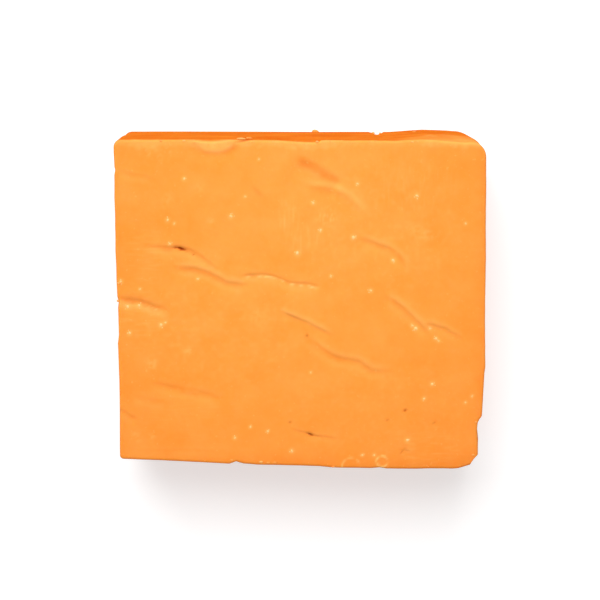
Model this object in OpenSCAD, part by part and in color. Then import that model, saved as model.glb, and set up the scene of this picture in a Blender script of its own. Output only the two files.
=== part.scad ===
// Block of orange cheddar, cut by wire from a larger block and lying on its broad back.
// The broad face looks up. +X runs to its right and +Y to its back edge. The origin is
// on the underside, at the middle of the block. All sizes are in millimetres.

/* [Block] */
// Width of the broad face, left to right
block_w = 100; // [70:1:140]
// Depth of the broad face, front to back
block_d = 89; // [60:1:125]
// Thickness, from the underside to the broad face
block_t = 43; // [25:1:70]

/* [Wire cuts] */
// How far the left side leans in by the time it reaches the front
left_lean = 1.6; // [0:0.1:5]
// How far the front edge runs back at its left end
front_slant = 2.6; // [0:0.1:5]
// How much the right side draws in towards the front
right_draw = 1; // [0:0.1:3]
// Height of the waves that the wire leaves in the sides
wire_wave = 0.25; // [0:0.05:0.8]
// Length of one of those waves
wire_pitch = 23; // [12:1:40]
// Height of the soft swell of the broad face
face_swell = 0.3; // [0:0.05:1]

/* [Edges] */
// Radius of the edges round the broad face
edge_r = 1.8; // [0.5:0.1:4]
// Radius of the edges round the underside
foot_r = 1.2; // [0.5:0.1:4]
// Radius of the upright edge at the back, on the left
back_left_r = 2; // [0.5:0.1:8]
// Radius of the worn upright edge at the back, on the right
back_right_r = 6; // [0.5:0.1:10]
// Radius of the upright edge at the front, on the left
front_left_r = 1; // [0.5:0.1:8]
// Radius of the upright edge at the front, on the right
front_right_r = 2; // [0.5:0.1:8]

/* [Damage] */
// Depth of the break at the front right corner, measured in from the corner
corner_chip_depth = 2.9; // [1:0.1:4.5]
// Way that the break faces, in degrees from +X
corner_chip_turn = -33; // [-60:1:-20]
// Radius of the hollow of that break
corner_chip_r = 20; // [10:1:60]
// How far down from the broad face the break runs out
corner_chip_h = 34; // [20:1:60]
// Length of the bite out of the right side
side_bite_l = 10; // [4:0.5:16]
// Depth of that bite
side_bite_depth = 1.4; // [0.4:0.1:3]
// How far down from the broad face the bite runs out
side_bite_h = 30; // [15:1:60]
// Distance of the bite's middle from the front edge
side_bite_from_front = 9.5; // [6:0.5:30]
// Width of the two small notches
notch_w = 3.4; // [2:0.1:6]
// Depth of those notches
notch_depth = 0.9; // [0.3:0.1:1.6]
// How far up or down the side a notch runs out
notch_h = 9; // [4:0.5:14]
// Distance from the left side of the notch in the broad face's front edge
front_notch_from_left = 34; // [20:0.5:60]
// Distance from the right side of the notch in the underside's back edge
back_notch_from_right = 28.5; // [15:0.5:50]
// Length of the scoop out of the broad face's back edge
scoop_l = 11; // [4:0.5:20]
// Depth of the scoop at that edge
scoop_depth = 1.1; // [0.3:0.1:2.5]
// Distance of the scoop's middle from the left side
scoop_from_left = 28; // [15:0.5:60]

/* [Curd seams] */
// Depth of the deepest seam between the pressed curds
seam_depth = 0.55; // [0:0.05:1.2]
// Width of a seam
seam_w = 3; // [1.5:0.1:6]

/* [Grid] */
// Cells across the width of the broad face
cells_x = 40; // [20:1:48]
// Cells across the depth of the broad face
cells_y = 36; // [18:1:44]
// Cells up the thickness
cells_z = 6; // [4:1:8]

/* [Hidden] */
cheddar_orange = [0.98, 0.62, 0.22];
half_w = block_w / 2;
half_d = block_d / 2;
// Places of the grid lines that follow a rounded edge, as shares of its radius
edge_stops = [0, 0.3, 0.65];
// Places of the rings that carry that rounding on under the block, the same way
foot_stops = [1, 0.65, 0.3];
// Each seam has its share of seam_depth, then its points. A point is [across, back], as
// shares of half the width and half the depth, from the middle of the face. A seam with
// a negative share stands up as a ridge.
seams = [
    [1, [-0.82, 0.36], [-0.64, 0.35], [-0.48, 0.29], [-0.40, 0.22]],
    [-0.7, [-0.62, 0.27], [-0.46, 0.23], [-0.34, 0.16], [-0.22, 0.14]],
    [0.8, [-0.35, 0.20], [-0.15, 0.18], [0.10, 0.12]],
    [1, [-0.98, 0.05], [-0.84, 0.03], [-0.71, -0.02]],
    [-0.8, [-0.12, -0.02], [0.05, -0.09], [0.18, -0.15]],
    [1, [0.04, -0.17], [0.17, -0.28], [0.33, -0.35], [0.45, -0.40], [0.54, -0.39]],
    [0.6, [-0.01, 0.91], [0.12, 0.81], [0.24, 0.74]],
    [-1, [0.04, 0.76], [0.20, 0.71], [0.31, 0.59]],
    [0.9, [0.31, 0.42], [0.46, 0.36], [0.58, 0.22]],
    [0.9, [0.44, 0.06], [0.60, -0.08], [0.70, -0.18]],
    [0.7, [0.68, -0.11], [0.76, -0.13], [0.88, -0.20]],
    [0.7, [-0.80, -0.48], [-0.60, -0.50], [-0.42, -0.56]],
    [0.5, [-0.06, -0.71], [0.06, -0.78], [0.18, -0.81]]
];

// Radius of the circle that cuts to a depth over a chord.
function bite_radius(chord, depth) = (chord * chord / 4 + depth * depth) / (2 * depth);

// Grid lines across a side of that half length: close together where its edges turn.
function stops(half, cells, r_low, r_high) = concat(
    [for (s = edge_stops) -half + s * r_low],
    [for (i = [0:cells]) -half + r_low + (2 * half - r_low - r_high) * i / cells],
    [for (i = [len(edge_stops) - 1:-1:0]) half - edge_stops[i] * r_high]
);

// A point near an edge, [inset from the side, inset from the face], on the edge's arc.
function on_arc(side_in, face_in, r) =
    let (
        out = r - side_in,
        up = r - face_in,
        k = max(out, up) / norm([out, up])
    )
    [r - out * k, r - up * k];

// Rounds the edges round the broad face and round the underside.
function round_edges(p) =
    let (
        upper = p.z > block_t / 2,
        r = upper ? edge_r : foot_r,
        side_in = min(half_w - abs(p.x), half_d - abs(p.y)),
        face_in = upper ? block_t - p.z : p.z
    )
    side_in >= r || face_in >= r ? p :
    let (arc = on_arc(side_in, face_in, r))
    [
        p.x * (half_w - arc.x) / (half_w - side_in),
        p.y * (half_d - arc.x) / (half_d - side_in),
        upper ? block_t - arc.y : arc.y
    ];

function upright_r(p) = p.x > 0
    ? (p.y > 0 ? back_right_r : front_right_r)
    : (p.y > 0 ? back_left_r : front_left_r);

// Rounds the upright edges, each with its own radius.
function round_corners(p) =
    let (
        r = upright_r(p),
        dx = abs(p.x) - half_w + r,
        dy = abs(p.y) - half_d + r
    )
    dx <= 0 || dy <= 0 ? p :
    let (k = max(dx, dy) / norm([dx, dy]))
    [sign(p.x) * (half_w - r + dx * k), sign(p.y) * (half_d - r + dy * k), p.z];

// Sets the sides out of square, as the wire cut them.
function lean(p) =
    let (
        left = (1 - p.x / half_w) / 2,
        front = (1 - p.y / half_d) / 2
    )
    [
        p.x + left_lean * left * front - right_draw * (1 - left) * front * front,
        p.y + front_slant * left * front,
        p.z
    ];

// Waves the sides a little. The waves fade out towards the middle, the face and the foot.
function wave(p) =
    let (
        turn = 360 / wire_pitch,
        rise = sin(180 * p.z / block_t),
        out_x = p.x / half_w,
        out_y = p.y / half_d
    )
    [
        p.x - wire_wave * rise * out_x * abs(out_x) * (1 + sin(turn * (p.y + p.z))),
        p.y - wire_wave * rise * out_y * abs(out_y) * (1 + sin(turn * (p.x - p.z))),
        p.z
    ];

// Share of a break's depth that is left this far from the edge where it starts.
function fade(away, reach) = max(0, 1 - away / reach);

// The plan point where a point of the square block's outline comes to lie.
function on_outline(x, y) = let (at = lean([x, y, 0])) [at.x, at.y];

// Pushes a point in, out of an upright round cutter that reaches a depth in from the outline.
function bite(p, outline_at, outward, r, depth) =
    let (
        centre = outline_at + outward * (r - depth),
        away = [p.x, p.y] - centre,
        far = norm(away)
    )
    far >= r ? p : [centre.x + away.x * r / far, centre.y + away.y * r / far, p.z];

function chip_corner(p) = bite(
    p, on_outline(half_w, -half_d), [cos(corner_chip_turn), sin(corner_chip_turn)],
    corner_chip_r, corner_chip_depth * fade(block_t - p.z, corner_chip_h)
);

function bite_right(p) = bite(
    p, on_outline(half_w, side_bite_from_front - half_d), [1, 0],
    bite_radius(side_bite_l, side_bite_depth),
    side_bite_depth * fade(block_t - p.z, side_bite_h)
);

function notch_front(p) = bite(
    p, on_outline(front_notch_from_left - half_w, -half_d), [0, -1],
    bite_radius(notch_w, notch_depth), notch_depth * fade(block_t - p.z, notch_h)
);

function notch_back(p) = bite(
    p, on_outline(half_w - back_notch_from_right, half_d), [0, 1],
    bite_radius(notch_w, notch_depth), notch_depth * fade(p.z, notch_h)
);

function break_sides(p) = notch_back(notch_front(bite_right(chip_corner(p))));

// Scoops a shell-shaped chip out of the broad face's back edge.
function scoop(p) =
    let (
        r = bite_radius(scoop_l, scoop_depth),
        inward = scoop_depth - r,
        centre = [scoop_from_left - half_w, half_d - inward * sin(45), block_t - inward * cos(45)],
        away = p - centre,
        far = norm(away)
    )
    far >= r ? p : centre + away * r / far;

function share_along(p, a, b) = max(0, min(1, (p - a) * (b - a) / ((b - a) * (b - a))));

function gap_to_line(p, a, b) = norm(p - a - (b - a) * share_along(p, a, b));

// How far a seam lowers the face at a plan point.
function seam_drop(p, seam) =
    let (
        at = [for (i = [1:len(seam) - 1]) [seam[i].x * half_w, seam[i].y * half_d]],
        gap = min([for (i = [1:len(at) - 1]) gap_to_line(p, at[i - 1], at[i])])
    )
    gap >= seam_w ? 0 : seam[0] * seam_depth * (1 + cos(180 * gap / seam_w)) / 2;

function face_drop(p, i = 0) =
    i == len(seams) ? 0 : seam_drop(p, seams[i]) + face_drop(p, i + 1);

// Lowers the broad face at its seams and towards its edges. The sides follow in proportion.
function press_face(p) =
    let (
        plan = [p.x, p.y],
        height = pow(max(0, p.z / block_t), 8),
        off_middle = (pow(p.x / half_w, 2) + pow(p.y / half_d, 2)) / 2
    )
    [p.x, p.y, p.z - height * (face_drop(plan) + face_swell * off_middle)];

// The place on the finished block of a point on the sharp-edged box.
function cut(p) =
    press_face(scoop(break_sides(wave(lean(round_corners(round_edges(p)))))));

// The block's skin: a grid over the broad face, rings down the sides and a flat foot.
module block_skin() {
    xs = stops(half_w, cells_x, edge_r, edge_r);
    ys = stops(half_d, cells_y, edge_r, edge_r);
    mids = stops(block_t / 2, cells_z, foot_r, edge_r);
    // Each ring is [inset from the sides, height]. The last ones lie in the underside.
    levels = concat(
        [for (i = [len(mids) - 2:-1:0]) [0, mids[i] + block_t / 2]],
        [for (i = [len(foot_stops) - 1:-1:0]) [foot_stops[i] * foot_r, 0]]
    );
    nx = len(xs);
    ny = len(ys);
    rim = concat(
        [for (i = [0:nx - 2]) [i, 0]],
        [for (j = [0:ny - 2]) [nx - 1, j]],
        [for (i = [nx - 1:-1:1]) [i, ny - 1]],
        [for (j = [ny - 1:-1:1]) [0, j]]
    );
    round_n = len(rim);
    top = [for (j = [0:ny - 1]) for (i = [0:nx - 1]) cut([xs[i], ys[j], block_t])];
    rings = [
        for (level = levels) for (at = rim)
            cut([
                xs[at.x] * (half_w - level[0]) / half_w,
                ys[at.y] * (half_d - level[0]) / half_d,
                level[1]
            ])
    ];
    points = concat(top, rings, [[0, 0, 0]]);
    // Level 0 is the rim of the face, and level k the k-th ring under it.
    function ring_at(level, k) = level == 0
        ? rim[k % round_n].y * nx + rim[k % round_n].x
        : nx * ny + (level - 1) * round_n + k % round_n;
    // Two triangles for a cell, given anticlockwise from outside, wound for polyhedron().
    function halves(a, b, c, d) = [[c, b, a], [d, c, a]];
    face = [
        for (j = [0:ny - 2]) for (i = [0:nx - 2])
            let (a = j * nx + i)
            each halves(a, a + 1, a + nx + 1, a + nx)
    ];
    sides = [
        for (level = [1:len(levels)]) for (k = [0:round_n - 1])
            each halves(
                ring_at(level, k), ring_at(level, k + 1),
                ring_at(level - 1, k + 1), ring_at(level - 1, k)
            )
    ];
    foot = [
        for (k = [0:round_n - 1])
            [ring_at(len(levels), k), ring_at(len(levels), k + 1), len(points) - 1]
    ];
    polyhedron(points = points, faces = concat(face, sides, foot), convexity = 4);
}

module cheddar_block() {
    color(cheddar_orange) block_skin();
}

cheddar_block();
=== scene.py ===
"""Looks of a block of orange cheddar that lies on its broad back, broad face up.

The block's skin is one grid, bent in steps: rounded edges, sides as the wire left them, broken
edges, then the relief of the pressed curd. Pale flecks and crumbs are pieces of their own. The
shape is worked out in millimetres, in the frame of the CAD model, and meshes are made in metres.
"""

import math
import random

import bpy
import numpy as np
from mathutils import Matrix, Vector, noise


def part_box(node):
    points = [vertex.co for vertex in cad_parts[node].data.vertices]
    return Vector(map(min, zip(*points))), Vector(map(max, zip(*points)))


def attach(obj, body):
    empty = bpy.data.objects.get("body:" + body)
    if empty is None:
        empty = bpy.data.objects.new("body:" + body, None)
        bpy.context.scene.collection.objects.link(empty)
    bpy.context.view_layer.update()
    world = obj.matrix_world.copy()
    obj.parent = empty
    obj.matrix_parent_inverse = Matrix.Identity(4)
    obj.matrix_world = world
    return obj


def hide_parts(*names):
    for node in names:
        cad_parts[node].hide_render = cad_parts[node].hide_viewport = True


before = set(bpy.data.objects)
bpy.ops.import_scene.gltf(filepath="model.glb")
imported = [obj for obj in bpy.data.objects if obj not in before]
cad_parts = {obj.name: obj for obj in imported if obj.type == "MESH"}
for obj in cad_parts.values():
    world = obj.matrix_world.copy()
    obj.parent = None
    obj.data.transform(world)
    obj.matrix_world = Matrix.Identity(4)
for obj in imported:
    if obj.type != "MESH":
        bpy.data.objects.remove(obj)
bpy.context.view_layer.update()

MM = 0.001
NODE = "cheddar_block"

# Sizes of the block, from the CAD model's box
box_low, box_high = (np.array(corner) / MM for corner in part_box(NODE))
HALF_W = (box_high[0] - box_low[0]) / 2
HALF_D = (box_high[1] - box_low[1]) / 2
RIDGE_H = 0.45  # how far the highest curd ridge stands above the broad face
FACE_Z = box_high[2] - RIDGE_H

# Grid of the skin
FACE_CELL = 0.4
SIDE_CELL = 1.5
EDGE_STOPS = (0, 0.12, 0.28, 0.46, 0.7)  # grid lines round an edge, as shares of its radius
FOOT_STOPS = (0.3, 0.65, 1)

# Edges
EDGE_R = 0.7  # round the broad face
FOOT_R = 0.9  # round the underside
# Upright edges by the signs of their sides: radius at the broad face and at the foot
CORNER_R = {(-1, 1): (2.0, 2.6), (1, 1): (4.6, 6.2), (-1, -1): (1.0, 1.4), (1, -1): (2.0, 2.5)}


def smooth_step(low, high, x):
    """0 below low, 1 above high, and a smooth rise between them."""
    t = np.clip((x - low) / (high - low), 0, 1)
    return t * t * (3 - 2 * t)


def band(gap, width):
    """1 where the gap is 0, falling softly to 0 over about this width."""
    return np.exp(-(gap / width) ** 2)


def flat_points(xy):
    """Plan points as points in space at height 0, for noise_at."""
    return np.column_stack([xy, np.zeros(len(xy))])


def noise_at(points, size, offset=0.0, octaves=1):
    """Soft noise of about -1 to 1 at (N, 3) points, with lumps of this size. Each use has its
    own offset, so that no two patterns fall together."""
    scaled = points / size + offset
    if octaves == 1:
        return np.array([noise.noise(p) for p in scaled])
    return np.array([noise.fractal(p, 1.0, 2.0, octaves) for p in scaled])


# ---------------------------------------------------------------- the grid on a sharp box

def stops(half, r_low, r_high, cell):
    """Grid lines across a side, close together where its edges turn."""
    count = math.ceil((2 * half - r_low - r_high) / cell)
    low = [-half + s * r_low for s in EDGE_STOPS]
    middle = list(np.linspace(-half + r_low, half - r_high, count + 1))
    high = [half - s * r_high for s in reversed(EDGE_STOPS)]
    return np.array(low + middle + high)


def skin_grid():
    """Points and faces of a closed skin on the sharp-edged box."""
    xs = stops(HALF_W, EDGE_R, EDGE_R, FACE_CELL)
    ys = stops(HALF_D, EDGE_R, EDGE_R, FACE_CELL)
    mids = stops(FACE_Z / 2, FOOT_R, EDGE_R, SIDE_CELL)[:-1] + FACE_Z / 2
    nx, ny = len(xs), len(ys)
    rim = np.array(
        [(i, 0) for i in range(nx - 1)]
        + [(nx - 1, j) for j in range(ny - 1)]
        + [(i, ny - 1) for i in range(nx - 1, 0, -1)]
        + [(0, j) for j in range(ny - 1, 0, -1)]
    )
    count = len(rim)
    grid_x, grid_y = np.meshgrid(xs, ys)
    top = np.column_stack([grid_x.ravel(), grid_y.ravel(), np.full(nx * ny, FACE_Z)])
    levels = [(0.0, z) for z in reversed(mids)] + [(s * FOOT_R, 0.0) for s in FOOT_STOPS]
    rings = [
        np.column_stack([
            xs[rim[:, 0]] * (HALF_W - inset) / HALF_W,
            ys[rim[:, 1]] * (HALF_D - inset) / HALF_D,
            np.full(count, z),
        ])
        for inset, z in levels
    ]
    points = np.vstack([top, *rings, [[0, 0, 0]]])
    a = (np.arange(ny - 1)[:, None] * nx + np.arange(nx - 1)[None, :]).ravel()
    quads = [np.column_stack([a, a + 1, a + nx + 1, a + nx])]
    above = rim[:, 1] * nx + rim[:, 0]
    for level in range(len(levels)):
        below = nx * ny + level * count + np.arange(count)
        quads.append(np.column_stack([
            below, np.roll(below, -1), np.roll(above, -1), above,
        ]))
        above = below
    foot = np.column_stack([np.roll(above, -1), above, np.full(count, len(points) - 1)])
    faces = np.vstack(quads).tolist() + foot.tolist()
    return points, faces


# ---------------------------------------------------------------- bending the grid

def round_edges(p):
    """Rounds the edges round the broad face and round the underside."""
    upper = p[:, 2] > FACE_Z / 2
    r = np.where(upper, EDGE_R, FOOT_R)
    side_in = np.minimum(HALF_W - abs(p[:, 0]), HALF_D - abs(p[:, 1]))
    face_in = np.where(upper, FACE_Z - p[:, 2], p[:, 2])
    turns = (side_in < r) & (face_in < r)
    out, up = r - side_in, r - face_in
    k = np.maximum(out, up) / np.maximum(np.hypot(out, up), 1e-9)
    arc_side, arc_face = r - out * k, r - up * k
    new = p.copy()
    for axis, half in ((0, HALF_W), (1, HALF_D)):
        scale = (half - arc_side) / np.maximum(half - side_in, 1e-9)
        new[:, axis] = np.where(turns, p[:, axis] * scale, p[:, axis])
    new[:, 2] = np.where(turns, np.where(upper, FACE_Z - arc_face, arc_face), p[:, 2])
    return new


def round_corners(p):
    """Rounds the upright edges, each with its own radius."""
    new = p.copy()
    for (side_x, side_y), (face_r, foot_r) in CORNER_R.items():
        r = face_r + (foot_r - face_r) * (1 - p[:, 2] / FACE_Z)
        dx = p[:, 0] * side_x - HALF_W + r
        dy = p[:, 1] * side_y - HALF_D + r
        turns = (dx > 0) & (dy > 0)
        k = np.maximum(dx, dy) / np.maximum(np.hypot(dx, dy), 1e-9)
        new[turns, 0] = (side_x * (HALF_W - r + dx * k))[turns]
        new[turns, 1] = (side_y * (HALF_D - r + dy * k))[turns]
    return new


# How far each side stands in from the box, as (distance from the back or left, inset). The
# first list holds over the whole height. The second is breaks in the broad face's edge.
LEFT_IN = ([(0, 0.0), (89, 1.2)], [
    (0, 0.0), (3.5, 0.0), (7, 0.2), (7.9, 0.45), (9.2, 0.15), (15, 0.0), (30, 0.0), (38, 0.1),
    (42, 0.2), (43.5, 0.6), (45, 0.35), (52, 0.5), (54.5, 0.15), (64, 0.3), (89, 0.0),
])
RIGHT_IN = ([
    (0, 0.05), (60, 0.05), (74.5, 0.35), (76.5, 1.35), (79, 1.6), (83, 1.4), (89, 1.4),
], [
    (0, 0.05), (61, 0.0), (62.5, 0.2), (70, 0.35), (74.5, 0.5), (75.5, 0.7), (76.5, 0.6),
    (79, 0.55), (83, 0.5), (89, 0.4),
])
FRONT_IN = ([(0, 2.8), (12, 2.4), (30, 1.5), (45, 0.95), (60, 0.4), (80, 0.05), (100, 0.0)], [
    (0, 0.0), (31, 0.0), (32, 0.4), (32.8, 0.75), (33.6, 0.5), (34.8, 0.2), (38.5, 0.0),
    (55, 0.25), (58, 0.0), (69, 0.0), (71.5, 0.3), (73.5, 0.0), (92, 0.0),
    (94, 0.15), (96, 0.7), (100, 2.0),
])
BACK_IN = ([(0, -0.5), (24, -0.5), (50, -0.4), (76, -0.4), (86, -1.0), (92, -0.8), (96, -0.5)], [
    (0, 0.2), (20, 0.1), (25, 0.2), (35, 0.1), (44, 0.3), (48, 0.6), (51, 0.8), (54.6, 0.85),
    (55.6, 0.3), (62, 0.35), (70, 0.3), (75, 0.4), (79, 0.35), (83, 0.45), (88, 0.9),
    (94, 1.1), (98, 0.5), (100, 0.3),
])
BREAK_H = 26.0  # about how far down the sides the breaks in the face's edge run
BREAK_WANDER = 5.0  # how far they wander along a side as they run down
WANDER_DROP = 8.0  # drop over which they start to wander
SIDE_PULL = 14.0  # how far in from a side the grid is drawn along with it


def stand_in(curves, along, drop):
    """How far a side stands in, at distances along it and below the broad face. The breaks
    wander as they run down, and some run further than others."""
    at = flat_points(np.column_stack([along / 3, drop]))
    wander = BREAK_WANDER * noise_at(at, 8.0, 71) * np.clip(drop / WANDER_DROP, 0, 1)
    lean, breaks = (np.interp(along + wander, *zip(*curve)) for curve in curves)
    height = BREAK_H * (0.6 + 0.5 * noise_at(at, 5.0, 73))
    return lean + breaks * np.clip(1 - drop / height, 0, 1)


def side_weight(inset, reach):
    """1 on a side, falling to 0 this far in from it."""
    return 1 - smooth_step(0, reach, inset)


def set_sides(p):
    """Sets the sides as the wire cut them and as they broke."""
    from_left, from_right = p[:, 0] + HALF_W, HALF_W - p[:, 0]
    from_front, from_back = p[:, 1] + HALF_D, HALF_D - p[:, 1]
    drop = FACE_Z - p[:, 2]
    new = p.copy()
    new[:, 0] += side_weight(from_left, SIDE_PULL) * stand_in(LEFT_IN, from_back, drop)
    new[:, 0] -= side_weight(from_right, SIDE_PULL) * stand_in(RIGHT_IN, from_back, drop)
    new[:, 1] += side_weight(from_front, SIDE_PULL) * stand_in(FRONT_IN, from_left, drop)
    new[:, 1] -= side_weight(from_back, SIDE_PULL) * stand_in(BACK_IN, from_left, drop)
    return new


def bite(p, middle, outward, r, depth):
    """Pushes points in, out of an upright round cutter that reaches a depth in from a point."""
    facing = np.array([math.cos(outward), math.sin(outward)])
    centre = np.array(middle) + facing * (r - depth)[:, None]
    away = p[:, :2] - centre
    far = np.maximum(np.hypot(away[:, 0], away[:, 1]), 1e-9)
    new = p.copy()
    inside = far < r
    new[inside, :2] = (centre + away * (r / far)[:, None])[inside]
    return new


# The broken front right corner
CHIP_AT = (HALF_W - 1.2, -HALF_D + 0.6)
CHIP_TURN = math.radians(-33)
CHIP_R = 9.0
CHIP_DEPTH = 2.7
CHIP_H = 75.0  # height over which it would run out, more than the block has


def chip_corner(p):
    """Breaks the front right corner off, deepest at the broad face."""
    depth = CHIP_DEPTH * np.clip(1 - (FACE_Z - p[:, 2]) / CHIP_H, 0, 1)
    return bite(p, CHIP_AT, CHIP_TURN, CHIP_R, depth)


# The notch at the foot of the back side
NOTCH_FROM_RIGHT = 28.5
NOTCH_R = 2.2
NOTCH_DEPTH = 0.95
NOTCH_H = 9.0


def notch_foot(p):
    """Notches the back edge of the underside."""
    depth = NOTCH_DEPTH * np.clip(1 - p[:, 2] / NOTCH_H, 0, 1)
    return bite(p, (HALF_W - NOTCH_FROM_RIGHT, HALF_D), math.pi / 2, NOTCH_R, depth)


# The shell-shaped chip out of the broad face's back edge
SCOOP_FROM_LEFT = 26.0
SCOOP_L = 10.5
SCOOP_DEPTH = 0.4


def scoop(p):
    """Scoops the chip with a ball that lies outwards and upwards of the edge."""
    r = (SCOOP_L ** 2 / 4 + SCOOP_DEPTH ** 2) / (2 * SCOOP_DEPTH)
    inward = (r - SCOOP_DEPTH) * math.sqrt(0.5)
    centre = np.array([SCOOP_FROM_LEFT - HALF_W, HALF_D + inward, FACE_Z + inward])
    away = p - centre
    far = np.linalg.norm(away, axis=1)
    new = p.copy()
    inside = far < r
    new[inside] = centre + away[inside] * (r / far[inside])[:, None]
    return new


# ---------------------------------------------------------------- relief of the broad face

WAVER = 0.3  # how far seams waver


def curve_through(points, step=0.3):
    """Points close together on a smooth curve through the given ones, a little wavering."""
    p = np.array([points[0], *points, points[-1]], float)
    out = []
    for a, b, c, d in zip(p[:-3], p[1:-2], p[2:-1], p[3:]):
        count = max(2, int(np.hypot(*(c - b)) / step))
        for t in np.arange(count) / count:
            out.append(0.5 * (
                2 * b + (c - a) * t + (2 * a - 5 * b + 4 * c - d) * t ** 2
                + (3 * b - a - 3 * c + d) * t ** 3
            ))
    out.append(p[-1])
    curve = np.array(out)
    at = flat_points(curve)
    return curve + WAVER * np.column_stack([noise_at(at, 2.5, 11), noise_at(at, 2.5, 13)])


class Seam:
    """A ledge between pressed curds. Its points run from left to right, so that the side on
    its left is the one towards the back. The front side drops and recovers over a run, and
    the back side lifts and settles over a run. Edge is how wide the ledge between them is.
    Glow, ridge and crumbs are how pale it is in a soft band on the front side, on the back
    side, and in a fine broken line at its foot."""

    def __init__(self, points, drop=0.4, drop_run=2.0, lift=0.15, lift_run=1.5, edge=0.7,
                 glow=0.1, ridge=0.05, crumbs=0.0, ends=0.25):
        self.curve = curve_through(points)
        self.ends = ends  # share of the length over which each end fades out
        self.drop, self.drop_run = drop, drop_run
        self.lift, self.lift_run = lift, lift_run
        self.edge = edge
        self.glow, self.ridge, self.crumbs = glow, ridge, crumbs


SEAMS = [
    # two seams that run side by side on the left, with a rope-like swelling between them
    Seam([(-43, 16.6), (-36, 16.1), (-32, 15.9), (-29.5, 15.2), (-26.8, 13.6), (-24.2, 11.7),
          (-20.4, 8.8)], drop=0.58, drop_run=2.2, glow=0.16, edge=0.6),
    Seam([(-35, 10.7), (-31, 10.5), (-27.9, 10.3), (-24.7, 9.4), (-22.6, 8.2), (-20.4, 7),
          (-18, 6.3), (-14.8, 6.2), (-11.8, 6.1)], drop=0.75, lift=0.4, glow=0.15, ridge=0.3,
         edge=0.8),
    # the long seam across the middle
    Seam([(-16.7, 8.0), (-12.6, 8.6), (-8.9, 8.6), (-5.4, 7.7), (-2.7, 6.6), (2.1, 6.2),
          (5.9, 5.2)], drop=0.48, edge=0.5, glow=0.12, crumbs=1.3, ends=0.14),
    # the seam that runs in from the left side
    Seam([(-50.5, 2.8), (-48.5, 2.4), (-45.2, 2), (-42.5, 1.7), (-39.8, 0.5), (-37.1, -0.4),
          (-34.4, -1.5)], drop=0.75, drop_run=2.8, edge=0.8, glow=0.45, crumbs=0.7),
    # two seams right of the middle
    Seam([(-6.5, -0.8), (0, -3.4), (4.8, -5.6), (9.5, -8.2)], drop=0.4, lift=0.45, lift_run=2,
         edge=0.5, glow=0, ridge=0.3),
    Seam([(0.5, -7.4), (4, -9.9), (7.5, -12.5), (11.3, -14), (15.6, -15), (18.1, -16.3),
          (20.2, -17.5), (26, -17.5)], drop=0.75, drop_run=1.6, lift=0.4, edge=1.0, glow=0.12,
         ridge=0.2),
    # a swelling and a fold at the back
    Seam([(-1.5, 41), (3.6, 38.1), (7.6, 35.7), (12.5, 32.7)], drop=0.85, drop_run=3.5, edge=1.3,
         glow=0.15),
    Seam([(0, 32.4), (6.7, 31.9), (10.2, 30.8), (13.1, 29), (15.3, 26.8), (17.5, 24)],
         drop=0.5, lift=0.45, lift_run=1.4, edge=1.2, glow=0, ridge=0.28),
    # the seams on the right
    Seam([(15, 18.7), (19.3, 17.4), (22.8, 16.3), (25.2, 15), (27.4, 12.8), (29.5, 9.3)],
         drop=0.52, lift=0.42, edge=0.8, ridge=0.22),
    Seam([(22.5, 3.5), (25.8, 1.2), (28.8, -1.2), (31.2, -3.7), (33.9, -6.1), (36, -9)],
         drop=0.55, lift=0.45, edge=0.8, ridge=0.25),
    Seam([(33, -4.4), (35.8, -5), (38.5, -5.9), (40.9, -7.1), (44.2, -8.8)],
         drop=0.5, lift=0.25, edge=0.6, glow=0.08, ridge=0.2),
    # the seams at the front left
    Seam([(-41.5, -20.7), (-37.2, -21.4), (-32.9, -22.3), (-29.2, -22.9), (-25.7, -23.7),
          (-20, -25.7)], drop=0.62, drop_run=1.6, edge=1.1, glow=0.08),
    Seam([(-32, -23), (-30, -23.5), (-27, -23.9)], drop=0.1, edge=0.3, crumbs=0.6),
    Seam([(-44.5, -24), (-40.5, -25.2), (-36, -25.8)], drop=0.2, edge=0.9),
    Seam([(-50.5, -27), (-48.6, -27.9), (-46.5, -29.3), (-43.8, -30.8)], drop=0.4, edge=0.6),
    # fine ones
    Seam([(-3.6, -32.6), (-0.8, -33.7), (2.2, -34.6), (6.8, -35.5), (12, -36)],
         drop=0.14, drop_run=1, edge=0.3, glow=0.05),
    Seam([(-48.8, 36.8), (-45.5, 35.9), (-42.3, 35.4), (-38.5, 34.2)], drop=0.1, edge=0.6),
    Seam([(-48.5, -38.8), (-38, -39.2), (-28, -39.1), (-19, -39.5)], drop=0.06, drop_run=0.8,
         lift=0.03, edge=0.4, glow=0.08),
    # the smeared lip at the back edge
    Seam([(-28.6, 44.2), (-26.6, 42.4), (-24, 41.5), (-21.3, 41.4), (-18.9, 42.2),
          (-17.2, 43.8)], drop=0.65, drop_run=1.4, edge=0.6, glow=0, ridge=0.45, ends=0.1),
]
SEAM_REACH = 7.0  # how far from its line a seam shapes the face
END_FADE = 0.8  # how far beyond its ends it still shows
SEAM_UNEVEN = 0.35  # how unevenly high it is along its length
# Width of each pale band along a seam, and how far from the ledge's foot the middle lies
GLOW_W, GLOW_OFF = 0.9, 0.9
RIDGE_W = 0.8
CRUMB_W, CRUMB_OFF = 0.28, 0.1
# How far from a seam or pit the grid is drawn in to it, on the broad face and on the sides
FACE_GATHER = 1.3
SIDE_GATHER = 4.0
GATHER_POWER = 1.6


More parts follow.
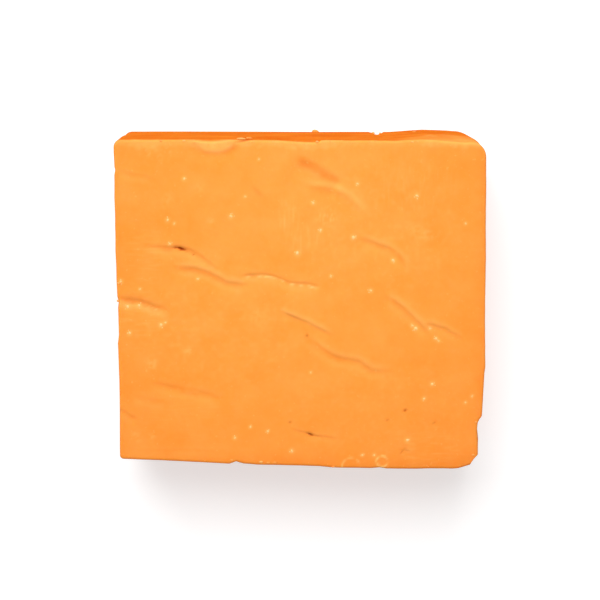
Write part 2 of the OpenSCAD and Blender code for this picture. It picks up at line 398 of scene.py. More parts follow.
def along_curve(xy, curve, reach):
    """For plan points near a curve: their indices, gaps (+ on the curve's left), shares of the
    way along it, distances beyond its ends, and directions out to its left."""
    low, high = curve.min(axis=0) - reach, curve.max(axis=0) + reach
    near = np.where(((xy > low) & (xy < high)).all(axis=1))[0]
    gaps = xy[near][:, None, :] - curve[None, :, :]
    nearest = np.argmin((gaps ** 2).sum(axis=2), axis=1)
    ahead = np.gradient(curve, axis=0)[nearest]
    gap = gaps[np.arange(len(near)), nearest]
    out = np.column_stack([-ahead[:, 1], ahead[:, 0]]) / np.hypot(*ahead.T)[:, None]
    side = (out * gap).sum(axis=1)
    beyond = np.sqrt(np.maximum((gap ** 2).sum(axis=1) - side ** 2, 0))
    return near, side, nearest / (len(curve) - 1), beyond, out


def end_fade(seam, share, beyond):
    """1 along a seam, falling to 0 at its ends."""
    fade = smooth_step(0, seam.ends, share) * smooth_step(0, seam.ends, 1 - share)
    return fade * band(beyond, END_FADE)


def gather(xy, seam, reach):
    """Draws plan points in towards a seam, so that the grid is finest at its ledge."""
    near, side, share, beyond, out = along_curve(xy, seam.curve, reach)
    near_share = np.minimum(abs(side) / reach, 1)
    drawn = np.sign(side) * reach * near_share ** GATHER_POWER
    shift = np.where(near_share < 1, drawn - side, 0) * end_fade(seam, share, beyond)
    new = xy.copy()
    new[near] += out * shift[:, None]
    return new


def seam_relief(xy, seam):
    """Height that one seam adds at each plan point, and how pale it makes the point."""
    height, pale = np.zeros(len(xy)), np.zeros(len(xy))
    near, side, share, beyond, _ = along_curve(xy, seam.curve, SEAM_REACH)
    at = flat_points(xy[near])
    lifted = seam.lift * np.exp(-np.maximum(side, 0) / seam.lift_run)
    dropped = -seam.drop * np.exp(np.minimum(side, 0) / seam.drop_run)
    back_share = 1 / (1 + np.exp(-np.clip(side / (seam.edge / 2.2), -30, 30)))
    fade = end_fade(seam, share, beyond)
    height[near] = fade * (1 + SEAM_UNEVEN * noise_at(at, 4.0, 23)) * (
        back_share * lifted + (1 - back_share) * dropped
    )
    front, back = side + seam.edge, side - seam.edge
    broken = np.clip(0.3 + 2 * noise_at(at, 1.8, 27), 0, 1)
    pale[near] = fade * (
        seam.glow * band(front + GLOW_OFF, GLOW_W) + seam.ridge * band(back, RIDGE_W)
        + seam.crumbs * broken * band(front + CRUMB_OFF, CRUMB_W)
    )
    return height, pale


PITS = [
    # (x, y, length, width, depth, turn in degrees) of the holes and cracks in the face
    (-31.9, 15.5, 2.2, 0.5, 0.8, -20),
    (-33.4, 15.8, 1.0, 0.3, 0.4, -5),
    (2.8, -34.9, 1.7, 0.4, 0.6, -25),
    (4.6, -35.4, 1.6, 0.3, 0.15, -12),
    (1.9, -8.0, 0.6, 0.6, 0.3, 0),
    (28.4, -28.4, 0.6, 0.6, 0.45, 0),
    (23.6, -31.0, 0.7, 0.4, 0.22, 10),
    (36.2, -31.8, 0.9, 0.4, 0.18, 30),
    (-11.3, 30.6, 3.4, 1.1, 0.1, -40),
    (-2.7, -31.6, 0.6, 0.5, 0.3, 0),
    (27.7, -39.5, 1.8, 0.35, 0.22, 50),
    (28.8, -39.3, 2.4, 0.35, 0.18, -10),
    (-28.6, 13.9, 0.4, 0.3, 0.25, 0),
    (-15.0, 44.5, 3.8, 0.5, 0.3, 10),
]


def pit_shares(xy, pits):
    """How deep into a pit each plan point is, 0 outside and 1 at a pit's middle, and how far
    the pits lower it."""
    share, depth = np.zeros(len(xy)), np.zeros(len(xy))
    for x, y, length, width, deep, turn in pits:
        c, s = math.cos(math.radians(turn)), math.sin(math.radians(turn))
        dx, dy = xy[:, 0] - x, xy[:, 1] - y
        far = np.hypot((dx * c + dy * s) / (length / 2), (dy * c - dx * s) / (width / 2))
        here = np.exp(-far ** 2 * 0.8)
        share = np.maximum(share, here * min(1, deep / 0.7))
        depth = np.maximum(depth, here * deep)
    return share, depth


def gather_to_pits(xy, pits, reach):
    """Draws plan points in towards the pits, so that the grid is finest there."""
    new = xy.copy()
    for x, y, *_ in pits:
        away = new - (x, y)
        far = np.maximum(np.hypot(*away.T), 1e-9)
        share = np.minimum(far / reach, 1)
        new = (x, y) + away * (share ** (GATHER_POWER - 1))[:, None]
    return new


RINGS = [(22.2, -42.3, 1.5, 1.0), (13.8, -43.7, 2.4, 0.6)]  # (x, y, radius, strength)
RING_W = 0.25  # width of a ring's line
RING_H = 0.2  # how far it stands up
SPOTS = [
    # (x, y, radius, strength) of soft pale patches
    (-39.9, -15.4, 1.4, 0.5), (-30.2, -12.1, 1.2, 0.4), (-44.4, -35.6, 1.5, 0.3),
    (-40, -35.6, 1.1, 0.25), (-11.8, -3.1, 2.6, 0.2), (31.5, 20.2, 1.7, 0.4),
    (33.8, 19.6, 1.6, 0.4), (29.6, 21.4, 1.2, 0.3), (-27, 32, 1.5, 0.2), (-24, 23, 1.0, 0.3),
    (-35.5, 29, 1.6, 0.2),
]
SMEARS = [
    # (x, y, half width, half depth, streak width, streak length, strength): fields of streaks
    (-3, 24.5, 2.6, 4.5, 0.4, 3.5, 0.4), (7, 24.2, 2.7, 2.3, 0.5, 1.2, 0.6),
    (2, 18, 5, 4, 0.5, 4, 0.3), (-42, 14, 5, 8, 4.5, 0.45, 0.25), (-43, -3, 5, 7, 4.5, 0.45, 0.25),
    (-28, -30, 14, 7, 5, 0.4, 0.08), (30, 33, 12, 7, 0.6, 3.5, 0.15), (-38.5, 42, 4, 3, 0.6, 1, 0.4),
    (34, -38, 9, 5, 3.5, 0.5, 0.25), (20, 20, 24, 18, 1.4, 1.6, 0.15),
    (-22, -6, 24, 16, 1.6, 1.4, 0.15), (20, -28, 24, 14, 1.2, 1.2, 0.12),
]


def rings_on(xy):
    """The strength of the small raised rings at the front edge, 0 away from them."""
    on = np.zeros(len(xy))
    for x, y, r, strength in RINGS:
        off = np.hypot(xy[:, 0] - x, xy[:, 1] - y) - r
        on = np.maximum(on, strength * band(off, RING_W))
    near = on > 0.01
    on[near] *= np.clip(0.7 + 1.2 * noise_at(flat_points(xy[near]), 1.1, 61), 0, 1)
    return on


BLOOM_AT = (2, 30)
BLOOM_R = 24.0
BLOOM = 0.07  # how pale the dried middle of the back half is


def bleached(xy):
    """How pale points are in the dried middle and in the soft patches and streaks."""
    pale = BLOOM * np.exp(-((xy - BLOOM_AT) ** 2).sum(axis=1) / BLOOM_R ** 2)
    at = flat_points(xy)
    for x, y, r, strength in SPOTS:
        far = np.hypot(xy[:, 0] - x, xy[:, 1] - y) / r
        near = np.where(far < 2)[0]
        broken = np.clip(0.5 + 1.1 * noise_at(at[near], 0.9, x, octaves=2), 0, 1)
        pale[near] += strength * np.exp(-far[near] ** 2) * broken
    for x, y, w, d, streak_x, streak_y, strength in SMEARS:
        far = np.hypot((xy[:, 0] - x) / w, (xy[:, 1] - y) / d)
        near = np.where(far < 1.5)[0]
        streak = noise_at(at[near] / [streak_x, streak_y, 1], 1.0, x)
        pale[near] += strength * smooth_step(1.5, 0.6, far[near]) * np.clip(streak, 0, 1)
    return pale


# (height, size, offset) of the waves in the broad face
FACE_WAVES = [(0.10, 17.0, 3), (0.055, 6.5, 5), (0.02, 2.4, 7), (0.008, 1.1, 9)]
FACE_SWELL = 0.3  # how much the face falls from its middle to its corners


def face_relief(xy):
    """Height of the broad face over its plane at plan points, and how pale they are."""
    at = flat_points(xy)
    height = sum(high * noise_at(at, size, offset) for high, size, offset in FACE_WAVES)
    pale = np.zeros(len(xy))
    for seam in SEAMS:
        seam_height, seam_pale = seam_relief(xy, seam)
        height += seam_height
        pale = np.maximum(pale, seam_pale)
    swell = ((xy[:, 0] / HALF_W) ** 2 + (xy[:, 1] / HALF_D) ** 2) / 2
    height -= FACE_SWELL * swell
    rings = rings_on(xy)
    height += RING_H * rings - pit_shares(xy, PITS)[1]
    return height, np.maximum(pale + bleached(xy), rings)


RIM_W = 2.0  # along the rim the grid isn't drawn in to seams
RELIEF_FULL, RELIEF_END = 0.3, 4.0  # drops below the face between which its relief fades out


def press_face(p):
    """Gives the broad face its relief, which fades out down the sides. Also returns how pale
    each point is."""
    new = p.copy()
    from_rim = np.minimum(HALF_W - abs(p[:, 0]), HALF_D - abs(p[:, 1]))
    inner = (p[:, 2] > FACE_Z - 0.01) & (from_rim > RIM_W)
    for seam in SEAMS:
        new[inner, :2] = gather(new[inner, :2], seam, FACE_GATHER)
    new[inner, :2] = gather_to_pits(new[inner, :2], PITS, FACE_GATHER)
    weight = smooth_step(FACE_Z - RELIEF_END, FACE_Z - RELIEF_FULL, p[:, 2])
    raised = weight > 0
    height, pale_here = face_relief(new[raised, :2])
    new[raised, 2] += weight[raised] * height
    pale = np.zeros(len(p))
    pale[raised] = weight[raised] * pale_here
    return new, pale


SEAM_DEEP = 0.5  # how dark the foot of a seam is on the sides, where no light grazes it
# Seams that show on the cut sides, in distance along the side's own axis and height
SIDE_SEAMS = {
    (0, -1): [
        Seam([(-36, 33), (-27, 30.5), (-19, 29.5), (-11, 26)], drop=0.5, lift=0.25, edge=0.9),
        Seam([(4, 21), (12, 18.5), (19, 18), (27, 14.5)], drop=0.45, lift=0.3, edge=1.0),
        Seam([(-22, 12.5), (-14, 11.5), (-7, 9)], drop=0.3, edge=0.8),
    ],
    (0, 1): [
        Seam([(-30, 14), (-22, 15.5), (-13, 19.5), (-5, 20.5)], drop=0.5, lift=0.3, edge=1.0),
        Seam([(6, 31), (14, 29.5), (24, 30), (33, 27)], drop=0.45, lift=0.2, edge=0.9),
        Seam([(16, 10.5), (22, 9.5), (29, 6.5)], drop=0.3, edge=0.8),
    ],
    (1, -1): [
        Seam([(-38, 27), (-30, 25.5), (-21, 26), (-13, 22.5)], drop=0.5, lift=0.3, edge=0.9),
        Seam([(-4, 13), (5, 11), (14, 11.5), (22, 8)], drop=0.5, lift=0.25, edge=1.0),
        Seam([(12, 33.5), (21, 32), (31, 32.5), (39, 30)], drop=0.4, edge=0.8),
    ],
    (1, 1): [
        Seam([(-40, 12), (-31, 14), (-22, 13), (-14, 15.5)], drop=0.45, lift=0.25, edge=1.0),
        Seam([(-6, 28), (4, 26.5), (14, 27), (23, 23.5)], drop=0.5, lift=0.3, edge=0.9),
        Seam([(26, 12), (33, 13.5), (41, 12)], drop=0.3, edge=0.8),
    ],
}

# Slits in the cut sides, as in PITS but with the distance along the side and the height
SIDE_PITS = {
    (0, -1): [(-14, 30.2, 2.2, 0.5, 0.6, -20), (30, 9, 1.4, 0.5, 0.4, 10)],
    (0, 1): [
        (-20, 16.2, 2.4, 0.5, 0.6, 25), (21, 33, 1.2, 0.6, 0.5, 0), (35, 8.5, 1.0, 0.5, 0.4, 0),
    ],
    (1, -1): [
        (-24, 25.8, 2.4, 0.5, 0.6, 5), (9, 10.6, 2.0, 0.5, 0.5, 5), (34, 17, 1.1, 0.6, 0.5, 30),
    ],
    (1, 1): [(12, 26.8, 2.2, 0.5, 0.6, 0), (-34, 30, 1.0, 0.6, 0.4, 20)],
}
# The part of the skin that they mark: depth from the side, and heights
MARK_IN = 3.0
MARK_LOW, MARK_HIGH = 0.5, FACE_Z - 1


def mark_sides(p):
    """Gives the cut sides a few seams and slits. Also returns how pale each point is beside the
    seams, and how much painted shade it gets deep in a slit or a seam."""
    new, pale, deep = p.copy(), np.zeros(len(p)), np.zeros(len(p))
    for (axis, sign), seams in SIDE_SEAMS.items():
        half = (HALF_W, HALF_D)[axis]
        between = (p[:, 2] > MARK_LOW) & (p[:, 2] < MARK_HIGH)
        on = np.where((half - sign * p[:, axis] < MARK_IN) & between)[0]
        flat = p[on][:, [1 - axis, 2]]
        for seam in seams:
            flat = gather(flat, seam, SIDE_GATHER)
        pits = SIDE_PITS[axis, sign]
        flat = gather_to_pits(flat, pits, SIDE_GATHER)
        # painted shade inside the slits, and at the seams' feet below
        deep[on], depth = pit_shares(flat, pits)
        new[on, axis] -= sign * depth
        for seam in seams:
            height, pale_here = seam_relief(flat, seam)
            new[on, axis] += sign * height
            pale[on] = np.maximum(pale[on], pale_here)
            deep[on] = np.maximum(deep[on], SEAM_DEEP * np.clip(-height / seam.drop, 0, 1) ** 2)
        new[on, 1 - axis], new[on, 2] = flat[:, 0], flat[:, 1]
    return new, pale, deep


# (height, size, offset, how much flatter than wide) of the waves in the cut sides
SIDE_WAVES = [(0.16, 14.0, 31, 1), (0.07, 5.0, 37, 1), (0.03, 2.5, 41, 2.5)]
WAVE_FADE = 3.0  # they fade out over this height to the foot, and over this depth inwards


def roughen_sides(p):
    """Waves and tears of the cut sides."""
    new = p.copy()
    amount = smooth_step(0, WAVE_FADE, p[:, 2]) * sum(
        high * noise_at(p * [1, 1, flat], size, offset) for high, size, offset, flat in SIDE_WAVES
    )
    for axis, half in ((0, HALF_W), (1, HALF_D)):
        sign = np.sign(p[:, axis])
        near = side_weight(half - abs(p[:, axis]), WAVE_FADE)
        new[:, axis] -= sign * near * amount
    return new


def shape_block():
    """Points and faces of the block's skin, how pale each point is, and how much painted shade it
    gets deep in a slit or a seam of the sides."""
    points, faces = skin_grid()
    points = round_corners(round_edges(points))
    points = notch_foot(chip_corner(set_sides(points)))
    points, side_pale, side_painted_shade = mark_sides(roughen_sides(scoop(points)))
    points, pale = press_face(points)
    pale = np.maximum(pale, side_pale)
    points[:, 0] += (box_low[0] + box_high[0]) / 2
    points[:, 1] += (box_low[1] + box_high[1]) / 2
    return points, faces, pale, side_painted_shade


# ---------------------------------------------------------------- meshes

def mesh_piece(name, points, faces, material):
    """A smooth-shaded object from points in millimetres."""
    mesh = bpy.data.meshes.new(name)
    mesh.from_pydata((np.asarray(points) * MM).tolist(), [], faces)
    mesh.update()
    mesh.shade_smooth()
    mesh.materials.append(material)
    piece = bpy.data.objects.new(name, mesh)
    bpy.context.scene.collection.objects.link(piece)
    return piece


def store(piece, name, values):
    """Stores a number for each point, for the material to read."""
    attribute = piece.data.attributes.new(name, "FLOAT", "POINT")
    attribute.data.foreach_set("value", np.asarray(values, np.float32))


# ---------------------------------------------------------------- materials

class Nodes:
    """A material's node tree with short calls."""

    def __init__(self, name):
        self.material = bpy.data.materials.new(name)
        self.material.use_nodes = True
        self.tree = self.material.node_tree
        self.shader = self.tree.nodes["Principled BSDF"]

    def add(self, kind, **inputs):
        node = self.tree.nodes.new(kind)
        for key, value in inputs.items():
            self.feed(node.inputs[key.replace("_", " ")], value)
        return node

    def feed(self, socket, value):
        if isinstance(value, bpy.types.NodeSocket):
            self.tree.links.new(value, socket)
        else:
            socket.default_value = value

    def noise(self, scale, detail=2.0, roughness=0.5, stretch=(1, 1, 1)):
        """Noise with this many lumps to the metre."""
        where = self.add("ShaderNodeTexCoord").outputs["Object"]
        mapped = self.add("ShaderNodeMapping", Vector=where, Scale=stretch).outputs["Vector"]
        node = self.add("ShaderNodeTexNoise", Vector=mapped, Scale=scale, Detail=detail,
                        Roughness=roughness)
        return node.outputs["Fac"]

    def spread(self, value, low, high, to_low=0.0, to_high=1.0):
        """The value, moved from one range to another."""
        node = self.add("ShaderNodeMapRange", Value=value, From_Min=low, From_Max=high,
                        To_Min=to_low, To_Max=to_high)
        return node.outputs["Result"]

    def mix(self, factor, a, b):
        node = self.tree.nodes.new("ShaderNodeMix")
        node.data_type = "RGBA"
        self.feed(node.inputs["Factor"], factor)
        self.feed(node.inputs["A"], a)
        self.feed(node.inputs["B"], b)
        return node.outputs["Result"]

    def stored(self, name):
        """The number that store() left at each point."""
        node = self.tree.nodes.new("ShaderNodeAttribute")
        node.attribute_name = name
        return node.outputs["Fac"]


def srgb(r, g, b):
    """A linear colour from 0-255 sRGB values."""
    def linear(v):
        v /= 255
        return v / 12.92 if v <= 0.04045 else ((v + 0.055) / 1.055) ** 2.4
    return (linear(r), linear(g), linear(b), 1.0)


FACE_ORANGE = srgb(249, 159, 72)
WARM_ORANGE = srgb(249, 150, 58)
PALE_ORANGE = srgb(251, 194, 112)
# The cut sides' own deeper orange, darkened further with painted shade
CUT_ORANGE_AND_SHADE = srgb(212, 96, 20)
CUT_GOLD_AND_SHADE = srgb(225, 119, 34)
STREAK_RED = srgb(200, 78, 14)
# Painted shade: the dark red in pits, slits, seam feet and along the foot
PAINTED_SHADE_RED = srgb(150, 48, 8)
CRUMB_ORANGE = srgb(250, 176, 92)
FLECK = srgb(254, 208, 138)


def cheddar_material():
    """Paler orange on the broad face, deep and streaked orange on the cut sides. The sides'
    deeper orange is partly their own and partly painted shade.
    """
    m = Nodes("cheddar")
    mottle = m.spread(m.noise(120, detail=6, roughness=0.65), 0.32, 0.68)
    colour = m.mix(mottle, FACE_ORANGE, WARM_ORANGE)
    clouds = m.spread(m.noise(130, detail=6, roughness=0.6, stretch=(0.5, 0.5, 1)), 0.3, 0.7)
    streaks = m.spread(m.noise(230, detail=4, stretch=(0.12, 0.12, 1)), 0.55, 0.75, 0, 0.55)
    side = m.mix(streaks, m.mix(clouds, CUT_ORANGE_AND_SHADE, CUT_GOLD_AND_SHADE), STREAK_RED)
    # cut lays the sides' colour, partly painted shade, on the sides, and painted shade on the face's
    # rims
    colour = m.mix(m.stored("cut"), colour, side)
    dots = m.spread(m.noise(1000, detail=1), 0.68, 0.8, 0, 0.22)
    colour = m.mix(dots, colour, PALE_ORANGE)
    colour = m.mix(m.stored("pale"), colour, PALE_ORANGE)
    # painted shade in the face's pits, the sides' slits and seam feet, and along the foot
    colour = m.mix(m.stored("deep"), colour, PAINTED_SHADE_RED)
    m.feed(m.shader.inputs["Base Color"], colour)
    rough = m.spread(m.noise(420, detail=3), 0.3, 0.7, 0.45, 0.62)
    m.feed(m.shader.inputs["Roughness"], rough)
    m.shader.inputs["Specular IOR Level"].default_value = 0.0
    m.shader.inputs["Subsurface Weight"].default_value = 0.25
    m.shader.inputs["Subsurface Radius"].default_value = (1.0, 0.35, 0.08)
    m.shader.inputs["Subsurface Scale"].default_value = 2.5 * MM
    grain = m.noise(700, detail=5, roughness=0.65)
    bump = m.add("ShaderNodeBump", Strength=0.5, Distance=0.14 * MM, Height=grain)
    m.feed(m.shader.inputs["Normal"], bump.outputs["Normal"])
    return m.material


def crumb_material():
    m = Nodes("crumb")
    tint = m.mix(m.spread(m.noise(500), 0.4, 0.6), WARM_ORANGE, CRUMB_ORANGE)
    m.feed(m.shader.inputs["Base Color"], tint)
    m.shader.inputs["Roughness"].default_value = 0.7
    return m.material


def fleck_material():
    m = Nodes("fleck")
    tint = m.mix(m.noise(600), FLECK, PALE_ORANGE)
    m.feed(m.shader.inputs["Base Color"], tint)
    m.shader.inputs["Roughness"].default_value = 0.6
    return m.material


# (x, y, diameter) of the pale flecks that stand out on the broad face
FLECKS = [
    (-31, 34.4, 1.0), (-35.5, 23.3, 1.1), (-33.7, 22.4, 0.6), (-18.5, 24.3, 1.2),
    (-14.7, 29.6, 0.6), (-11, 39.6, 0.5), (-34.9, 16.9, 0.9), (-27.5, 7.4, 0.8),
    (-43, 4.7, 0.6), (-0.7, 14.4, 1.4), (-48.2, 6.7, 1.0), (15.4, 33, 0.9), (3.5, 27.9, 1.0),
    (31.3, 29.8, 1.1), (5.5, 20.6, 0.9), (14.3, 18.6, 1.3), (25, 12.4, 1.1), (8.3, 8.2, 0.8),
    (19, 4.3, 1.0), (44.4, 22.4, 0.6), (-37.4, -5, 1.1), (-36.2, -4.4, 0.6), (-45.9, -7.2, 1.0),
    (-46.4, -0.1, 1.1), (-43.3, 0.2, 1.0), (-13.4, -32.8, 0.7), (-8.7, -34, 0.8),
    (-17.6, -35.8, 0.8), (-2.2, -39.4, 1.2), (31.2, -6, 1.3), (30.2, -5.2, 0.7),
    (36.6, -8.7, 1.0), (35, -6, 0.7), (37.4, -9.4, 0.6), (35.7, -21.1, 1.1), (33.5, -25.1, 0.9),
    (44.7, -26.1, 0.6), (46.5, -24.4, 0.6), (29.1, -36.4, 1.1), (16.9, -40.5, 0.7),
    (20.1, -40.5, 0.7), (2.9, -17.9, 0.5),
]


# ---------------------------------------------------------------- the block

# The dried pale band along the back edge: (distance from the left, width, strength)
BACK_BAND = [
    (0, 1.6, 0.2), (8, 2.6, 0.3), (12, 3.0, 0.3), (14, 1.6, 0.2), (20, 1.6, 0.2),
    (22.5, 2.4, 0.4), (30, 2.4, 0.4), (33, 1.4, 0.2), (42, 2.2, 0.25), (50, 2.8, 0.3),
    (57, 2.6, 0.3), (62, 1.8, 0.2), (74, 1.6, 0.15), (82, 1.4, 0.15), (85, 1.7, 0.35),
    (87.5, 1.4, 0.2), (90, 1.6, 0.35), (96, 1.8, 0.3), (100, 1.0, 0.15),
]


BAND_MIN_W = 0.4  # the band is at least about this wide


def back_band(p):
    """How pale the points are in the band along the back edge."""
    from_left, width, strength = zip(*BACK_BAND)
    ragged = noise_at(p, 1.6, 51, octaves=2)
    at = p[:, 0] + HALF_W
    wide = BAND_MIN_W + np.interp(at, from_left, width) * (1 + 0.5 * ragged)
    strong = np.interp(at, from_left, strength) * (1 + 0.3 * ragged)
    return strong * (1 - smooth_step(0.3, 1, (HALF_D - p[:, 1]) / np.maximum(wide, 0.3)))


# Painted shade on the face towards its rims: (side, share of the cut sides' colour, width).
# Each side but the back has a narrow band, painted shade on the rounded edge, and a wide one,
# painted shade where the light falls off across the face.
RIM_SHADE_BANDS = [
    ("left", 0.05, 3.0), ("right", 0.15, 4.0), ("front", 0.28, 6.0),
    ("left", 0.1, 34.0), ("right", 0.1, 34.0), ("front", 0.16, 50.0),
]


def painted_rim_shade(p):
    """Painted shade in the cut sides' deep colour that the broad face takes on towards its rims."""
    gaps = {"left": p[:, 0] + HALF_W, "right": HALF_W - p[:, 0], "front": p[:, 1] + HALF_D}
    shade = np.zeros(len(p))
    for side, strength, width in RIM_SHADE_BANDS:
        shade += strength * (1 - np.clip(gaps[side] / width, 0, 1)) ** 1.5
    return shade


HALO = 0.6  # how pale the face is close round a fleck


def fleck_halos(p):
    """How pale the face is round the flecks."""
    pale = np.zeros(len(p))
    for x, y, size in FLECKS:
        far = np.hypot(p[:, 0] - x, p[:, 1] - y)
        pale += HALO * band(far, 0.35 * size + 0.25)
    return pale


WORN = 0.5  # how far the upper back right corner has dried to the face's paler colour
WORN_X = (24, 46)  # where along the back that begins and is full
WORN_Z = (FACE_Z - 24, FACE_Z - 4)
WORN_RAGGED = 7.0  # how far its bounds waver


def worn_corner(p):
    """How much of the face's colour the points of the worn corner have."""
    uneven = WORN_RAGGED * noise_at(p, 9.0, 57, octaves=3)
    back = smooth_step(HALF_D - 3, HALF_D - 1, p[:, 1])
    along = smooth_step(*WORN_X, p[:, 0] + uneven) * back
    return WORN * along * smooth_step(*WORN_Z, p[:, 2] + uneven)


# Painted shade along the foot of the sides, where the block meets the floor
FOOT_PAINTED_SHADE = 0.28  # how dark the sides are at the foot
FOOT_SHADE = (0.5, 5)  # heights between which that fades out
CUT_DROPS = (0.25, 1.1)  # drops below the face between which its colour turns to the sides'
PIT_DROP = 2.0  # the broad face's pits are coloured down to here


def build_block():
    """The skin, with the numbers that its material reads."""
    points, faces, seam_pale, side_painted_shade = shape_block()
    block = mesh_piece("cheddar", points, faces, cheddar_material())
    # the sides' colour below the face, which is partly painted shade
    cut = 1 - smooth_step(FACE_Z - CUT_DROPS[1], FACE_Z - CUT_DROPS[0], points[:, 2])
    cut *= 1 - worn_corner(points)
    pale = np.clip(seam_pale + fleck_halos(points), 0, 1)
    pale = np.maximum(pale * (1 - cut), (1 - cut) * back_band(points))
    # painted shade on the face towards its rims, carried in the same share as the sides' colour
    cut = np.maximum(cut, painted_rim_shade(points))
    # Painted shade: in the face's pits, in the sides' slits and seam feet, and along the foot
    face = points[:, 2] > FACE_Z - PIT_DROP
    foot = FOOT_PAINTED_SHADE * (1 - smooth_step(*FOOT_SHADE, points[:, 2]))
    deep = np.where(face, pit_shares(points[:, :2], PITS)[0], np.maximum(side_painted_shade, foot))
    store(block, "cut", cut)
    store(block, "pale", pale)
    store(block, "deep", deep)
    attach(block, "root")
    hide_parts(NODE)
    return block


# ---------------------------------------------------------------- flecks and crumbs

def sphere_mesh(rings=7, turns=10):
    """Points and faces of a unit sphere."""
    points = [(0, 0, 1)]
    for i in range(1, rings):
        lat = math.pi * i / rings
        for j in range(turns):
            lon = 2 * math.pi * j / turns
            points.append((math.sin(lat) * math.cos(lon), math.sin(lat) * math.sin(lon),
                           math.cos(lat)))
    points.append((0, 0, -1))
    faces = [(0, 1 + j, 1 + (j + 1) % turns) for j in range(turns)]
    for i in range(rings - 2):
        a = 1 + i * turns
        for j in range(turns):
            k = (j + 1) % turns
            faces.append((a + j, a + turns + j, a + turns + k, a + k))
    last = len(points) - 1
    a = last - turns
    faces += [(last, a + (j + 1) % turns, a + j) for j in range(turns)]
    return np.array(points), faces


def lump(unit, size, seed, unevenness=0.3):
    """A lumpy pebble from unit sphere points, stretched to a size in x, y and z."""
    bumps = 1 + unevenness * noise_at(unit, 0.9, seed)
    return unit * bumps[:, None] * np.array(size) / 2


def join_lumps(lumps):
    """One set of points and faces from several lumps with the same faces."""
    _, unit_faces = sphere_mesh()
    points = np.vstack(lumps)
    count = len(lumps[0])
    faces = [tuple(i * count + v for v in face) for i in range(len(lumps)) for face in unit_faces]
    return points, faces


def lump_at(place, size, rng):
    """A lump of a size in x, y and z, turned at random about the upright, at a place."""
    shape = lump(sphere_mesh()[0], size, rng.uniform(0, 99))
    turn = rng.uniform(0, math.pi)
    c, s = math.cos(turn), math.sin(turn)
    return shape @ np.array([[c, s, 0], [-s, c, 0], [0, 0, 1]]) + place


def build_flecks(height_of):
    """Each fleck is a flat lump with one to three bits beside it."""
    rng = random.Random(4)
    lumps = []
    for x, y, size in FLECKS:
        flat = (size * 0.75, size * rng.uniform(0.45, 0.65), size * 0.25)
        lumps.append(lump_at((x, y, height_of(x, y) + 0.01), flat, rng))
        for _ in range(rng.randint(1, 3)):
            away, turn = size * rng.uniform(0.45, 0.8), rng.uniform(0, 2 * math.pi)
            bit = size * rng.uniform(0.2, 0.35)
            at_x, at_y = x + away * math.cos(turn), y + away * math.sin(turn)
            place = (at_x, at_y, height_of(at_x, at_y))
            lumps.append(lump_at(place, (bit, bit * 0.7, bit * 0.4), rng))
    flecks = mesh_piece("pale_flecks", *join_lumps(lumps), fleck_material())
    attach(flecks, "root")
    return flecks


# (x, y, length, width, height) of the bits that cling to the rim of the broad face
RIM_CRUMBS = [
    (-15.8, 45.1, 2.4, 0.5, 0.6), (-13.6, 45.2, 1.8, 0.5, 0.6), (-37.2, 44.5, 0.7, 0.5, 0.5),
    (-31, 44.5, 1.0, 0.5, 0.4), (4.6, 44.2, 0.9, 0.6, 0.5), (30, 44.2, 1.0, 0.5, 0.4),
    (-48.6, 6.2, 1.0, 0.7, 0.5), (-48.8, 1.4, 1.2, 0.7, 0.5), (-10.6, -42.4, 1.4, 0.6, 0.5),
    (-8.6, -42.6, 1.0, 0.5, 0.4), (-6.8, -42.5, 1.2, 0.6, 0.4), (-18.5, -41.9, 0.8, 0.5, 0.4),
    (9, -43.7, 0.9, 0.5, 0.4), (46.8, -40.5, 0.9, 0.6, 0.5), (47.6, -31.5, 0.8, 0.5, 0.4),
]
# (x, y, z, length, width, height) of the bits that cling to the back side
BACK_CRUMBS = [
    (4.3, 45.0, 1.0, 2.0, 1.0, 1.6), (20.6, 44.5, 1.5, 1.0, 0.8, 1.2),
    (22.6, 44.5, 2.2, 0.8, 0.6, 1), (19.8, 44.6, 6, 0.9, 0.7, 1.2),
    (29.5, 45.05, 9, 1.8, 0.4, 0.9), (32, 45.25, 9.8, 1.4, 0.4, 0.7),
]
LOOSE_CRUMBS = 46  # small ones strewn along the back and front rims
LOOSE_AT_BACK = 0.65  # share of them at the back
LOOSE_SIZE = (0.2, 0.42)
LOOSE_X = (-48, 46)
LOOSE_IN = 0.9  # how far in from the rim they lie at most
RIM_FALL = 0.6  # the face ends where its rounded edge has fallen this far


def rim_y(height_of, x, side):
    """Where the broad face ends at this x, at the back for side 1 or at the front for -1."""
    y = side * (HALF_D + 1)
    while height_of(x, y) < FACE_Z - RIM_FALL:
        y -= side * 0.1
    return y


def build_crumbs(height_of):
    """Crumbs at chosen places, and loose ones strewn at random."""
    rng = random.Random(9)
    lumps = []
    for x, y, *size in RIM_CRUMBS:
        lumps.append(lump(sphere_mesh()[0], size, x) + (x, y, height_of(x, y * 0.99) - 0.05))
    for x, y, z, *size in BACK_CRUMBS:
        lumps.append(lump(sphere_mesh()[0], size, x) + (x, y, z))
    for _ in range(LOOSE_CRUMBS):
        size = rng.uniform(*LOOSE_SIZE)
        side = 1 if rng.random() < LOOSE_AT_BACK else -1
        x = rng.uniform(*LOOSE_X)
        y = rim_y(height_of, x, side) - side * rng.uniform(0, LOOSE_IN)
        place = (x, y, height_of(x, y) - 0.02)
        lumps.append(lump_at(place, (size, size * 0.7, size * 0.6), rng))
    crumbs = mesh_piece("edge_crumbs", *join_lumps(lumps), crumb_material())
    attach(crumbs, "root")
    return crumbs


def height_finder(block):
    """A function that gives the block's height in mm at a plan point."""
    def height_of(x, y):
        start = Vector((x * MM, y * MM, 0.2))
        hit, where, _, _ = block.ray_cast(start, Vector((0, 0, -1)))
        return where.z / MM if hit else 0.0
    return height_of


# ---------------------------------------------------------------- stage, light and camera

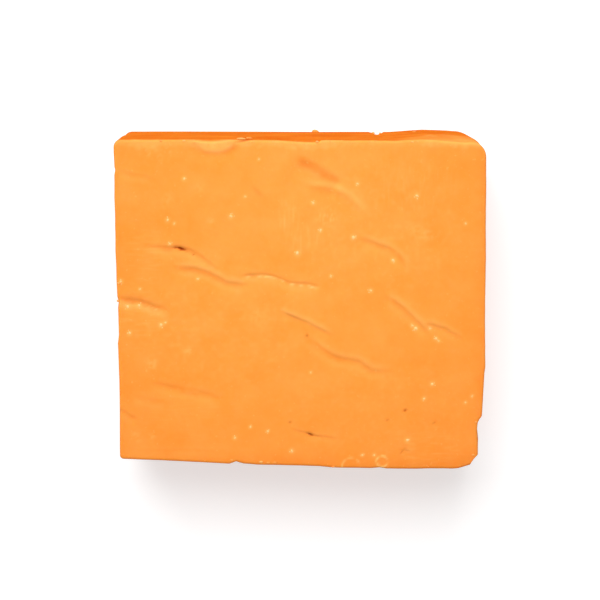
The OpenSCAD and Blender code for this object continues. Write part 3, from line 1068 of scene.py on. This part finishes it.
# In metres, watts and degrees
FLOOR_HALF = 3.0
FLOOR_GREY = 0.55
FLOOR_GLOW = 0.58
KEY_PLACE = (-0.13, 0.64, 1.13)  # behind the block and well above it
KEY_SIZE = 0.8
KEY_POWER = 18.7
WORLD_LIGHT = 0.3
CAMERA_LENS = 162.5  # in millimetres, on a sensor 36 mm wide
CAMERA_DISTANCE = 0.75
CAMERA_TILT = 6.3  # from straight down, so that the back side shows as a strip
CAMERA_AIM_Y = -0.00064


def floor_material():
    """A light-table white, which keeps the shadow faint."""
    m = Nodes("floor")
    m.shader.inputs["Base Color"].default_value = (FLOOR_GREY, FLOOR_GREY, FLOOR_GREY, 1)
    m.shader.inputs["Roughness"].default_value = 1.0
    m.shader.inputs["Emission Color"].default_value = (1, 1, 1, 1)
    m.shader.inputs["Emission Strength"].default_value = FLOOR_GLOW
    return m.material


def build_stage():
    """A plain pale floor."""
    mesh = bpy.data.meshes.new("floor")
    corners = ((-1, -1), (1, -1), (1, 1), (-1, 1))
    points = [(x * FLOOR_HALF, y * FLOOR_HALF, 0) for x, y in corners]
    mesh.from_pydata(points, [], [(0, 1, 2, 3)])
    mesh.materials.append(floor_material())
    floor = bpy.data.objects.new("floor", mesh)
    bpy.context.scene.collection.objects.link(floor)


def build_lights():
    """One square soft light that faces the block, in a dim white world."""
    data = bpy.data.lights.new("key", "AREA")
    data.size = KEY_SIZE
    data.energy = KEY_POWER
    light = bpy.data.objects.new("key", data)
    light.location = KEY_PLACE
    light.rotation_euler = (-Vector(KEY_PLACE)).to_track_quat("-Z", "Y").to_euler()
    bpy.context.scene.collection.objects.link(light)
    world = bpy.data.worlds.new("world")
    world.use_nodes = True
    background = world.node_tree.nodes["Background"]
    background.inputs["Color"].default_value = (1, 1, 1, 1)
    background.inputs["Strength"].default_value = WORLD_LIGHT
    bpy.context.scene.world = world


def build_camera():
    """Looks down at the broad face, from a little behind straight above."""
    data = bpy.data.cameras.new("camera")
    data.sensor_width = 36
    data.lens = CAMERA_LENS
    data.clip_end = 10
    camera = bpy.data.objects.new("camera", data)
    tilt = math.radians(CAMERA_TILT)
    target = Vector((0, CAMERA_AIM_Y, FACE_Z / 2 * MM))
    back = Vector((0, math.sin(tilt), math.cos(tilt)))
    camera.location = target + back * CAMERA_DISTANCE
    camera.rotation_euler = (-tilt, 0, 0)
    bpy.context.scene.collection.objects.link(camera)
    bpy.context.scene.camera = camera


bpy.context.scene.view_settings.view_transform = "Standard"
block = build_block()
height_of = height_finder(block)
build_flecks(height_of)
build_crumbs(height_of)
build_stage()
build_lights()
build_camera()
